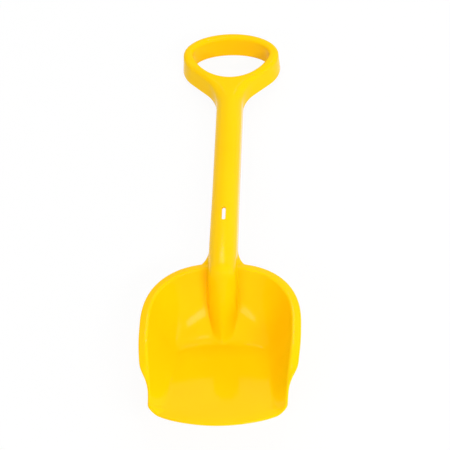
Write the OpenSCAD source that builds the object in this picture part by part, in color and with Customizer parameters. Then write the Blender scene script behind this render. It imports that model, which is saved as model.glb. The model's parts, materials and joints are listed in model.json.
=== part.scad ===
// Sand shovel: one plastic moulding, drawn as the regions that a mould maker would name.
// It is drawn with its shaft along Y and all its back edges in the plane Z = 0, and is then
// laid on the ground the way it rests by itself, on the heel of the scoop and the grip.

/* [Plastic] */
// Thickness of the walls
wall = 2.6; // [1.8:0.1:3.4]

/* [Scoop] */
// Width over the rim
scoop_w = 148; // [128:1:170]
// Length from the back of the rim to the tip of the lip
scoop_l = 181; // [165:1:210]
// Length of the rounded back, from the rim to the widest line
back_l = 75; // [66:1:84]
// Depth of the floor at the heel, below the back edges
heel_depth = 44; // [32:1:56]
// Width of the flat floor at the widest line
floor_w = 80; // [60:1:92]
// Width of the flat floor at the front corners
floor_front_w = 94; // [80:1:100]
// Reach of the flat floor behind the widest line
floor_back_l = 11; // [6:0.5:18]
// Width between the front corners, outside
front_w = 124.8; // [114:0.2:134]
// Length of the rounded front
front_l = 32; // [26:0.5:36]
// Depth of the lip below the back edges
lip_depth = 9; // [6:0.5:14]
// Width of the digging lip in front of the floor
lip_w = 12; // [8:0.5:12.5]
// Thickness of the lip at its edge
lip_edge = 1.8; // [1:0.1:2.6]

/* [Rim] */
// Width of the rim, from the inside of the scoop to its outer edge
rim_w = 6.8; // [5:0.1:9]
// Fall of the rim from its inner to its outer edge
rim_fall = 2.4; // [1:0.1:4]
// Distance from the widest line to where the rim begins to narrow
rim_straight_l = 38; // [25:1:42]
// Length over which the rim narrows towards the front
rim_taper_l = 28; // [20:1:32]
// Overhang of the rim where it runs out
rim_step = 1; // [0.6:0.1:2]
// Distance from the widest line to where the sides draw in
side_straight_l = 10; // [4:1:20]
// Distance from the widest line to where the rim begins to drop
rim_level_l = 26; // [15:1:32]
// Depth of the front corners below the back edges
corner_depth = 9; // [6:0.5:11]

/* [Shaft] */
// Width of the shaft at its back edges
shaft_w = 26.8; // [25:0.2:30]
// Height of the shaft from its back edges to its crown
shaft_h = 22; // [19:0.5:26]
// Radius of the shaft's rounded crown
crown_r = 12.4; // [11:0.1:12.5]
// Length of the shaft, from the scoop's rim to the fork of the grip
shaft_l = 202.4; // [160:0.2:240]
// Width of the slot through the crown
slot_w = 3.6; // [2.4:0.1:5]
// Length of the slot through the crown
slot_l = 16; // [10:0.5:24]
// Distance from the scoop's rim to the middle of the slot
slot_y = 46; // [30:1:60]
// Number of cross ribs inside the shaft
rib_count = 4; // [2:1:5]
// Distance from the scoop's rim to the first rib
rib_y = 84; // [72:1:90]
// Spacing of the ribs
rib_pitch = 30; // [18:1:32]
// Thickness of a rib
rib_t = 1.8; // [1.2:0.1:2.6]

/* [Spine] */
// Distance from the scoop's rim to where the spine's crown line would turn down
spine_y = 26; // [20:0.5:32]
// Angle of the spine's slope down the back of the scoop
spine_angle = 63; // [56:1:66]
// Radius of the spine's bend
spine_r = 12; // [8:0.5:16]
// Width of the strip of the scoop that carries the spine
spine_w = 44; // [40:0.5:50]
// Blend between the spine's flanks and the scoop
spine_blend = 4; // [2:0.1:5]
// Length of the flares where the shaft meets the rim
flare_l = 14; // [8:0.5:20]

/* [Grip] */
// Width of the grip
grip_w = 99; // [92:0.2:108]
// Height of the grip from its back edges to its face
grip_h = 23; // [20:0.5:27]
// Length from the widest line of the grip to its top
grip_top_l = 31.6; // [29:0.2:35]
// Radius of the grip's lower corners
grip_corner_r = 33.4; // [31:0.2:36]
// Radius of the fork's sides where they leave the shaft
fork_r = 36; // [32:0.5:40]
// Width of the hand hole
hole_w = 77; // [73:0.5:79]
// Length of the hand hole above its widest line
hole_top_l = 21.2; // [18:0.2:23]
// Length of the hand hole below its widest line
hole_low_l = 34; // [31:0.5:36]

/* [Hidden] */
plastic = [0.99, 0.84, 0.02];
overrun = 1;
// Powers of the scoop's outline: 2 gives an ellipse, more a squarer curve
back_power = 2.45;
front_power = 2.1;
// How soon the walls turn up from the floor, as a share of their width in plan
bend_share = 0.6;
// Where the crown's curve gives way to the shaft's straight flank
crown_angle = 75;
// Height on the wall at which the rim's underside begins, as a share of the wall's width
rim_root_share = 0.93;
// Grid of the scoop's surface: rows up the walls, and columns along each stretch
wall_rows = 14;
lip_rows = 5;
back_cols = 9;
side_cols = 10;
lip_cols = 24;
arc_steps = 24;
// Step for slopes on the scoop's surface, as a share of a patch
slope_share = 0.001;

// Lines across the scoop, measured along Y from the outer edge of the rim at the back
widest_y = -back_l;
heel_y = widest_y + floor_back_l;
corner_y = -scoop_l + front_l;
floor_half = floor_w / 2;
floor_front_half = floor_front_w / 2;
strip_half = spine_w / 2;
shaft_half = shaft_w / 2;
floor_slope = (heel_depth - lip_depth) / (heel_y + scoop_l);
floor_angle = atan(floor_slope);
// Inside edge of the rim, and its heights
rim_half = scoop_w / 2 - rim_w;
rim_back = back_l - rim_w;
rim_z = wall + rim_fall;
front_half = front_w / 2 - wall;
side_l = widest_y - corner_y;
floor_front_l = front_l - lip_w;
rim_cols = min(side_cols - 1, ceil((rim_straight_l + rim_taper_l) / side_l * side_cols));
// Crown line of the spine
bend_run = spine_r * tan(spine_angle / 2);
bend_start = bend_run - spine_y;
bend_end = bend_start - spine_r * sin(spine_angle);
crown_edge = crown_r * sin(crown_angle);
crown_drop = crown_r * (1 - cos(crown_angle));
flank_slope = (shaft_h - crown_drop) / (shaft_half - crown_edge);
// Grip
grip_corner_x = grip_w / 2 - grip_corner_r;
fork_x = shaft_half + fork_r;
grip_y = shaft_l - fork_x + grip_corner_x + sqrt(2) * (fork_r + grip_corner_r);
grip_end = grip_y + grip_top_l;
wall_h = grip_h - wall;

// Smooth step from 0 to 1
function ease(t) = let (s = min(1, max(0, t))) s * s * (3 - 2 * s);
// Height of a superellipse with half axes a and b at the place x
function arch(x, a, b, power) = b * pow(max(0, 1 - pow(abs(x) / a, power)), 1 / power);
// Largest of two heights, with a rounded inside corner
function soft_max(a, b, r) = (a + b + sqrt((a - b) * (a - b) + r * r)) / 2;
function mix(a, b, t) = a + (b - a) * t;
function unit(v) = v / norm(v);
function mirrored(p) = [-p.x, p.y, p.z];
// Rise of a wall at the share h of its width: level with the floor at 0, steepest at the rim
function rise(h) = (sqrt(h * h + bend_share * bend_share) - bend_share)
    / (sqrt(1 + bend_share * bend_share) - bend_share);

// Heights of the floor, and of the rim's inside edge at the share u of a side
function floor_z(y) = -heel_depth + (heel_y - y) * floor_slope;
function rim_top(u) = mix(rim_z, -corner_depth, ease((u * side_l - rim_level_l) / (side_l - rim_level_l)));
// Half width inside the rim, and width of the rim, at the share u of a side
function side_half(u) = mix(rim_half, front_half, ease((u * side_l - side_straight_l)
    / (side_l - side_straight_l)));
function rim_width(u) = mix(rim_w, wall + rim_step, ease((u * side_l - rim_straight_l) / rim_taper_l));

// Right-hand side wall: u runs from the widest line to the front, h from the floor to the rim
function side_point(u, h) =
    let (y = mix(widest_y, corner_y, u), low = mix(floor_half, floor_front_half, u))
    [mix(low, side_half(u), h), y, mix(floor_z(y), rim_top(u), rise(h))];

// Lip: t runs round the front from the right-hand side to the left, h from the floor to the edge
function signed_power(v, power) = sign(v) * pow(abs(v), power);
function front_turn(t, h) =
    [mix(floor_front_half, front_half, h) * signed_power(cos(180 * t), 2 / front_power),
     corner_y - mix(floor_front_l, front_l, h) * signed_power(sin(180 * t), 2 / front_power)];
function lip_lift(t) =
    let (p = front_turn(t, 1), reach = front_half - floor_front_half,
         beside = max(0, (abs(p.x) - floor_front_half) / reach))
    (-corner_depth - floor_z(p.y)) * rise(beside);
function lip_point(t, h) =
    let (p = front_turn(t, h))
    [p.x, p.y, floor_z(p.y) + lip_lift(t) * rise(h)];

// Back wall at the place x, and on the right-hand side at the share t from the side to the spine
function back_point(x, h) =
    let (a = mix(floor_half, rim_half, h),
         y = widest_y + arch(x, a, mix(floor_back_l, rim_back, h), back_power))
    [x, y, mix(floor_z(y), rim_z, rise(h))];
function turn(t, a, b) =
    let (angle = t * acos(pow(strip_half / a, back_power / 2)))
    [a * pow(cos(angle), 2 / back_power), widest_y + b * signed_power(sin(angle), 2 / back_power)];
function corner_point(t, h) =
    let (p = turn(t, mix(floor_half, rim_half, h), mix(floor_back_l, rim_back, h)))
    [p.x, p.y, mix(floor_z(p.y), rim_z, rise(h))];

// Crown line of the spine, its slope, and the drop of its cross-section beside the crown
function crown_z(y) = y >= bend_start ? shaft_h
    : y >= bend_end ? shaft_h - spine_r + sqrt(spine_r * spine_r - pow(bend_start - y, 2))
    : shaft_h - spine_r * (1 - cos(spine_angle)) - (bend_end - y) * tan(spine_angle);
function crown_slope(y) = y >= bend_start ? 0
    : y >= bend_end ? (bend_start - y) / sqrt(spine_r * spine_r - pow(bend_start - y, 2))
    : tan(spine_angle);
function drop(x) = abs(x) <= crown_edge ? crown_r - sqrt(crown_r * crown_r - x * x)
    : crown_drop + (abs(x) - crown_edge) * flank_slope;
function spine_z(x, y) = crown_z(y) - drop(x) * sqrt(1 + pow(crown_slope(y), 2));

// Strip of the scoop that carries the spine: q is 0 at the floor, 1 at the rim and 2 at its edge
function strip_point(x, q) =
    let (inner = back_point(x, min(q, 1)),
         y = q <= 1 ? inner.y : mix(inner.y, 0, q - 1),
         base = q <= 1 ? inner.z : mix(rim_z, wall, q - 1))
    [x, y, soft_max(base, spine_z(x, y), spine_blend)];

// Directions square to each surface
function side_normal(u, h) = unit(cross(
    side_point(u + slope_share, h) - side_point(u - slope_share, h),
    side_point(u, h + slope_share) - side_point(u, h - slope_share)));
function corner_normal(t, h) = unit(cross(
    corner_point(t, h + slope_share) - corner_point(t, h - slope_share),
    corner_point(t + slope_share, h) - corner_point(t - slope_share, h)));
function strip_normal(x, q) =
    let (n = cross(strip_point(x + slope_share, q) - strip_point(x - slope_share, q),
                   strip_point(x, q) - strip_point(x, q - slope_share)))
    unit(q > 1 ? [n.x, 0, n.z] : n);
function lip_normal(t, h) = unit(cross(
    lip_point(t + slope_share, h) - lip_point(t - slope_share, h),
    lip_point(t, h + slope_share) - lip_point(t, h - slope_share)));

// Places of the grid's rows and columns, as shares
row_shares = [for (i = [0 : wall_rows]) i / wall_rows];
side_shares = [for (i = [0 : side_cols]) i / side_cols];
back_shares = [for (i = [0 : back_cols]) i / back_cols];
lip_shares = [for (i = [0 : lip_cols]) i / lip_cols];
lip_row_shares = [for (i = [0 : lip_rows]) i / lip_rows];
crown_shares = [0, 0.2, 0.4, 0.6, 0.8, 1];
flank_shares = [0.5, 1];
foot_shares = [0.25, 0.5, 1];
strip_half_xs = concat([for (s = crown_shares) crown_r * sin(s * crown_angle)],
    [for (s = flank_shares) mix(crown_edge, shaft_half, s)],
    [for (s = foot_shares) mix(shaft_half, strip_half, s)]);
strip_xs = concat([for (i = [len(strip_half_xs) - 1 : -1 : 1]) -strip_half_xs[i]], strip_half_xs);
strip_rows = concat(row_shares, [2]);

// Closed shell between two grids of points that face each other
module shell(front, back) {
    rows = len(front);
    cols = len(front[0]);
    function at(side, i, j) = (side * rows + i) * cols + j;
    function quad(a, b, c, d) = [[a, b, c], [a, c, d]];
    faces = [
        for (i = [0 : rows - 2], j = [0 : cols - 2]) each concat(
            quad(at(0, i, j), at(0, i + 1, j), at(0, i + 1, j + 1), at(0, i, j + 1)),
            quad(at(1, i, j), at(1, i, j + 1), at(1, i + 1, j + 1), at(1, i + 1, j))),
        for (i = [0 : rows - 2]) each concat(
            quad(at(0, i, 0), at(1, i, 0), at(1, i + 1, 0), at(0, i + 1, 0)),
            quad(at(0, i, cols - 1), at(0, i + 1, cols - 1), at(1, i + 1, cols - 1), at(1, i, cols - 1))),
        for (j = [0 : cols - 2]) each concat(
            quad(at(0, 0, j), at(0, 0, j + 1), at(1, 0, j + 1), at(1, 0, j)),
            quad(at(0, rows - 1, j), at(1, rows - 1, j), at(1, rows - 1, j + 1), at(0, rows - 1, j + 1)))
    ];
    polyhedron([for (grid = [front, back]) for (row = grid) each row], faces);
}

// Grids of the scoop's pieces
function side_back(u, h) = side_point(u, h) - wall * side_normal(u, h);
function corner_back(t, h) = corner_point(t, h) - wall * corner_normal(t, h);
side_front_grid = [for (h = row_shares) [for (u = side_shares) side_point(u, h)]];
side_back_grid = [for (h = row_shares) [for (u = side_shares) side_back(u, h)]];
corner_front_grid = [for (h = row_shares) [for (t = back_shares) corner_point(t, h)]];
corner_back_grid = [for (h = row_shares) [for (t = back_shares) corner_back(t, h)]];
strip_front_grid = [for (q = strip_rows) [for (x = strip_xs) strip_point(x, q)]];
strip_back_grid = [for (q = strip_rows) [for (x = strip_xs)
    strip_point(x, q) - wall * strip_normal(x, q)]];

// Rim: it stands out from the back of the wall, from the wall's top down to the rim's root
rim_side_shares = [for (i = [rim_cols : -1 : 1]) side_shares[i]];
function rim_side_edge(u) =
    let (p = side_point(u, 1), w = rim_width(u))
    [p.x + w, p.y, p.z - rim_fall * w / rim_w];
function rim_back_edge(t) =
    let (p = turn(t, scoop_w / 2, back_l))
    [p.x, p.y, wall];
function rim_line(h) = concat([for (u = rim_side_shares) side_back(u, h)],
    [for (t = back_shares) corner_back(t, h)]);
rim_edge = concat([for (u = rim_side_shares) rim_side_edge(u)], [for (t = back_shares) rim_back_edge(t)]);
rim_under = [for (p = rim_edge) p - [0, 0, wall]];

// Thickness of the lip, which thins towards the middle of its edge
function lip_t(t, h) = mix(wall, lip_edge, h * sin(180 * t));
lip_front_grid = [for (h = lip_row_shares) [for (t = lip_shares) lip_point(t, h)]];
lip_back_grid = [for (h = lip_row_shares) [for (t = lip_shares)
    lip_point(t, h) - lip_t(t, h) * lip_normal(t, h)]];

// How far the moulding leans when it lies on its heel and on the top of its grip
heel_points = [for (row = concat(corner_back_grid, strip_back_grid)) each row];
lean = max([for (p = heel_points) atan2(-p.z, grip_end - p.y)]);
function laid(p) = [p.x, (p.y - grip_end) * cos(lean) + p.z * sin(lean),
    (grip_end - p.y) * sin(lean) + p.z * cos(lean)];
lip_end = min([for (p = concat(lip_front_grid[lip_rows], lip_back_grid[lip_rows])) laid(p).y]);
grip_tip = laid([0, grip_end, grip_h]).y;
middle_y = (lip_end + grip_tip) / 2;

// Lays a drawn piece on the ground
module lay() {
    translate([0, -middle_y, 0])
        rotate([-lean, 0, 0])
            translate([0, -grip_end, 0])
                color(plastic)
                    children();
}

// Draws a piece for the left from the right-hand one
module left() {
    mirror([1, 0, 0])
        children();
}

// Extrudes a section of the shaft along Y
module along(from, length) {
    translate([0, from + length, 0])
        rotate([90, 0, 0])
            linear_extrude(length)
                children();
}

module scoop_floor() {
    back_edge = concat([for (t = back_shares) corner_point(t, 0)],
        [for (i = [len(strip_xs) - 2 : -1 : 1]) strip_point(strip_xs[i], 0)],
        [for (i = [back_cols : -1 : 0]) mirrored(corner_point(back_shares[i], 0))]);
    front_edge = [for (i = [lip_cols : -1 : 0]) lip_point(lip_shares[i], 0)];
    outline = [for (p = concat(back_edge, front_edge)) [p.x, (p.y - heel_y) / cos(floor_angle)]];
    lay()
        translate([0, heel_y, -heel_depth])
            rotate([-floor_angle, 0, 0])
                translate([0, 0, -wall])
                    linear_extrude(wall)
                        polygon(outline);
}

module front_lip() {
    lay()
        shell(lip_front_grid, lip_back_grid);
}

module scoop_side_right() {
    lay()
        shell(side_front_grid, side_back_grid);
}

module scoop_side_left() {
    lay()
        left()
            shell(side_front_grid, side_back_grid);
}

module scoop_back_right() {
    lay()
        shell(corner_back_grid, corner_front_grid);
}

module scoop_back_left() {
    lay()
        left()
            shell(corner_back_grid, corner_front_grid);
}

module spine() {
    lay()
        shell(strip_front_grid, strip_back_grid);
}

module rim_right() {
    lay()
        shell([rim_line(rim_root_share), rim_under], [rim_line(1), rim_edge]);
}

module rim_left() {
    lay()
        left()
            shell([rim_line(rim_root_share), rim_under], [rim_line(1), rim_edge]);
}

// Flat web that widens the shaft's foot to the rim, with a hollow curve at its free edge
module flare() {
    reach = strip_half - shaft_half;
    curve = [for (i = [0 : arc_steps]) let (a = 90 * i / arc_steps)
        [strip_half - reach * sin(a), flare_l * (1 - cos(a))]];
    linear_extrude(wall)
        polygon(concat([[shaft_half, 0]], curve));
}

module neck_flare_right() {
    lay()
        flare();
}

module neck_flare_left() {
    lay()
        left()
            flare();
}

module slot() {
    span = slot_l - slot_w;
    for (y = [slot_y - span / 2, slot_y + span / 2])
        translate([0, y, 0])
            cylinder(h = shaft_h + overrun, d = slot_w, $fn = 48);
    translate([-slot_w / 2, slot_y - span / 2, 0])
        cube([slot_w, span, shaft_h + overrun]);
}

module shaft_crown() {
    lay()
        difference() {
            along(0, shaft_l)
                translate([0, shaft_h - crown_r])
                    difference() {
                        circle(crown_r, $fn = 96);
                        circle(crown_r - wall, $fn = 96);
                        translate([-crown_r - overrun, -crown_r - overrun])
                            square([2 * (crown_r + overrun), crown_r + overrun]);
                    }
            slot();
        }
}

module shaft_wall() {
    top = shaft_h - crown_r;
    along(0, shaft_l)
        polygon([[shaft_half, 0], [crown_r, top], [crown_r - wall, top], [shaft_half - wall, 0]]);
}

module shaft_wall_right() {
    lay()
        shaft_wall();
}

module shaft_wall_left() {
    lay()
        left()
            shaft_wall();
}

// Cross webs that fill the inside of the shaft's section
module shaft_ribs() {
    top = shaft_h - crown_r;
    lay()
        for (i = [0 : rib_count - 1])
            along(rib_y + i * rib_pitch - rib_t / 2, rib_t) {
                polygon([[wall - shaft_half, 0], [wall - crown_r, top], [crown_r - wall, top],
                    [shaft_half - wall, 0]]);
                intersection() {
                    translate([0, top])
                        circle(crown_r - wall, $fn = 96);
                    translate([-crown_r, top])
                        square([2 * crown_r, crown_r]);
                }
            }
}

// Points of an arc, from one angle to another
function arc(center, r, from, to) = [for (i = [0 : arc_steps]) let (a = mix(from, to, i / arc_steps))
    center + r * [cos(a), sin(a)]];

// Right-hand outline of the grip, drawn in by an inset, from the end of the shaft to the top
function grip_half(inset) =
    let (a = grip_w / 2 - inset,
         corner = [grip_corner_x, grip_y],
         r = grip_corner_r - inset,
         bend = fork_r + inset,
         fork = [fork_x, shaft_l])
    concat(arc(fork, bend, 180, 135), arc(corner, r, -45, 0),
        [for (i = [1 : arc_steps]) let (t = 90 * i / arc_steps)
            [a * cos(t), grip_y + (grip_top_l - inset) * sin(t)]]);
module grip_outline(inset) {
    half = grip_half(inset);
    polygon(concat(half, [for (i = [len(half) - 2 : -1 : 0]) [-half[i].x, half[i].y]]));
}

// Hand hole, widened by a margin
module hand_hole(margin) {
    a = hole_w / 2 + margin;
    polygon([for (i = [0 : 4 * arc_steps - 1]) let (t = 90 * i / arc_steps)
        [a * cos(t), grip_y + ((t < 180 ? hole_top_l : hole_low_l) + margin) * sin(t)]]);
}

module grip_face() {
    lay()
        translate([0, 0, wall_h])
            linear_extrude(wall)
                difference() {
                    grip_outline(0);
                    hand_hole(0);
                }
}

module grip_outer_wall() {
    lay()
        linear_extrude(wall_h)
            difference() {
                grip_outline(0);
                grip_outline(wall);
                translate([wall - shaft_half, shaft_l - overrun])
                    square([shaft_w - 2 * wall, 2 * overrun]);
            }
}

module grip_inner_wall() {
    lay()
        linear_extrude(wall_h)
            difference() {
                hand_hole(wall);
                hand_hole(0);
            }
}

scoop_floor();
front_lip();
scoop_side_left();
scoop_side_right();
scoop_back_left();
scoop_back_right();
spine();
rim_left();
rim_right();
neck_flare_left();
neck_flare_right();
shaft_crown();
shaft_wall_left();
shaft_wall_right();
shaft_ribs();
grip_face();
grip_outer_wall();
grip_inner_wall();
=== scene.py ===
"""Looks of a one-piece plastic sand shovel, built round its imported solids.

Lengths are in metres. The moulding is drawn flat, with the shaft along Y, the open side of the
scoop up and every back edge in the plane Z = 0, and is then laid on the ground as the solids lie.
"""

import json
from math import asin, cos, hypot, pi, radians, sin, sqrt, tan

import bpy
import numpy as np
from bpy.props import FloatProperty, FloatVectorProperty, PointerProperty
from mathutils import Matrix, Vector


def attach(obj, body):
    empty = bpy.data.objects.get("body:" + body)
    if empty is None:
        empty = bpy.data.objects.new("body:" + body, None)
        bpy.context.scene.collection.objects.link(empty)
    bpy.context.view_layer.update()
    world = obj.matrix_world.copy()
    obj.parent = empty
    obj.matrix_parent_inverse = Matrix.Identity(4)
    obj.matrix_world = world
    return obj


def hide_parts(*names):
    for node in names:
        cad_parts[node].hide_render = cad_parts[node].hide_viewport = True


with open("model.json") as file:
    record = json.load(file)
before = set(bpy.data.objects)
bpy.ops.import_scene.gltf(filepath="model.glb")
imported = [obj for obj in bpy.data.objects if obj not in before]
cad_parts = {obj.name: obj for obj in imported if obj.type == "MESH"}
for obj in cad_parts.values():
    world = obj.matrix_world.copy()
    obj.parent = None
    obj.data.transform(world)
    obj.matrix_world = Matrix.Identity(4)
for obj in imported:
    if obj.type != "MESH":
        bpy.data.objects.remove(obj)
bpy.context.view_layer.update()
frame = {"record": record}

bl_info = {
    "name": "Sand Shovel",
    "version": (1, 0, 0),
    "blender": (4, 5, 0),
    "location": "View3D > Sidebar > Sand Shovel",
    "description": "Builds the moulded scoop, the handle and the ribs of a sand shovel",
    "category": "Object",
}

MM = 0.001
BODY = "root"
WELD = 2e-6  # points nearer than this become one
TINY = 1e-12  # least length to divide by
FLIP = np.array((-1, 1, 1))
WHITE = (1, 1, 1, 1)

# Stage, with lengths in metres: the world's light, the floor, the lamps' distance and aim, the camera
WORLD_LIGHT = 0.5
FLOOR_WHITE = 0.93
FLOOR_TONE = (0.9, 0.9, 0.9, 1)
FLOOR_HALF = 6
FLOOR_CELLS = 8
FLOOR_DEPTH = 0.4 * MM
LAMP_FAR = 1.7
LAMP_AIM = -0.1
IMAGE_PX = 450
SENSOR_MM = 36.0
CLIP_END = 50

# Lamps: name, angle to the right of the front, angle above the ground, width and height, power
LAMPS = (
    ("right_softbox", 34, 44, (0.9, 0.28), 11.5),
    ("left_softbox", -36, 39, (0.65, 0.2), 5),
    ("top_softbox", 150, 78, (0.3, 0.3), 2.5),
    ("back_softbox", 180, 42, (1.5, 0.06), 7.5),
    ("side_softbox", 85, 20, (1.0, 0.6), 5.5),
)

# Plastic: scale and detail of each noise, and how the noises make patches, scuffs and a fine relief
CLOUD_NOISE = (22.0, 3.0)
GRAIN_NOISE = (420.0, 4.0)
RIPPLE_NOISE = (90.0, 1.0)
PATCH_FROM, PATCH_GAIN = 0.35, 2.2
SCUFF_FROM, SCUFF_GAIN = 0.5, 3.0
SCUFF_CLOUD, SCUFF_GRAIN = 0.6, 0.5
RELIEF_RIPPLE, RELIEF_GRAIN = 0.8, 0.12
RELIEF_STRENGTH, RELIEF_DEPTH = 0.06, 0.6 * MM
PLASTIC_IOR = 1.49

# Fixed lengths, angles and shares of the shapes
CROWN_END = radians(78)  # where a section's rounding gives way to its flank
FOOT_GAP = 0.5 * MM  # from the shaft's side to the foot of the spine's flank
PLAIN_EDGE = 0.3 * MM  # what is left of the rim where it has narrowed away
LIP_FADE = 6  # the lip thickens at each corner over the front's width divided by this
TIP_LEAST, TIP_POWER = 0.01, 0.7  # for the width of the mound that the spine runs out in
SEAM_GAP = 3.5 * MM  # from the flares to the handle's piece
FORK_LEAD = 6 * MM  # from the shaft's last section to the fork
EDGE_LEAD, EDGE_EASE = 3 * MM, 32 * MM  # where beyond that section the rounding changes
WALL_EASE = 38 * MM  # length over which the handle's wall changes
HOLE_LEAD, HOLE_GAP = 2.5 * MM, radians(17)  # where the fork ends below the hole
SLOT_BULGE, SLOT_REACH = 0.3 * MM, 0.9  # of the slot's edge, and of the patch round it
RIBS, RIB_BITE, RIB_TOP_GAP = 4, 0.2 * MM, 0.02 * MM
BOXY_POWER = 0.35  # squares off a bead
FAINT = 1e-6  # weight of a flat edge beside a rounded one
SHARP = radians(50)  # least angle of an edge that is shaded sharp
FACE_PASSES = 2  # times that the face's height is taken where the face begins
CALM_STEPS = 8  # times that the back's directions are averaged
FINE_STEPS, WAY_STEP = 600, 0.4 * MM  # of the outline's curves, and of its directions
FOOT_CROWD, RING_CROWD, SLOT_CROWD, RIB_CROWD = 1.4, 0.9, 0.7, 0.6  # powers that crowd rows

# Numbers of grid cells, and the length of a cell along the shaft
WALL_ROWS = 30
ROUND_ROWS = 9
FLANGE_ROWS = 5
BACK_COLS = 30
FLOOR_TURN_COLS = 15
SIDE_COLS = 44
CROWN_COLS = 12
FLANK_COLS = 14
FOOT_COLS = 10
NECK_ROWS = 18
SLOT_SPAN_COLS = 6
SLOT_ROWS = 16
SLOT_RINGS = 9
BELOW_ROWS = 4
SHAFT_STEP = 6 * MM
FORK_COLS = 170
FACE_ROWS = 6
FLAT_COLS = 5
HOLE_ROWS = 8
HOLE_ROUND_ROWS = 7
BEAD_STEPS = 8
RIB_ROWS = 24
RIB_COLS = 14


def setting(name, description, value, **more):
    """A number in the panel."""
    return FloatProperty(name=name, description=description, default=value, **more)


def length(name, description, mm):
    """A length in the panel, given here in millimetres and kept in metres."""
    return setting(name, description, mm * MM, unit="LENGTH", precision=5)


def turn(name, description, degrees):
    """An angle in the panel, given here in degrees."""
    return setting(name, description, radians(degrees), subtype="ANGLE")


def share(name, description, value):
    """A share from 0 to 1 in the panel."""
    return setting(name, description, value, min=0, max=1, subtype="FACTOR")


def colour(name, description, value):
    """A linear colour in the panel."""
    return FloatVectorProperty(name=name, description=description, default=value, min=0, max=1, size=3,
                               subtype="COLOR")


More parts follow.
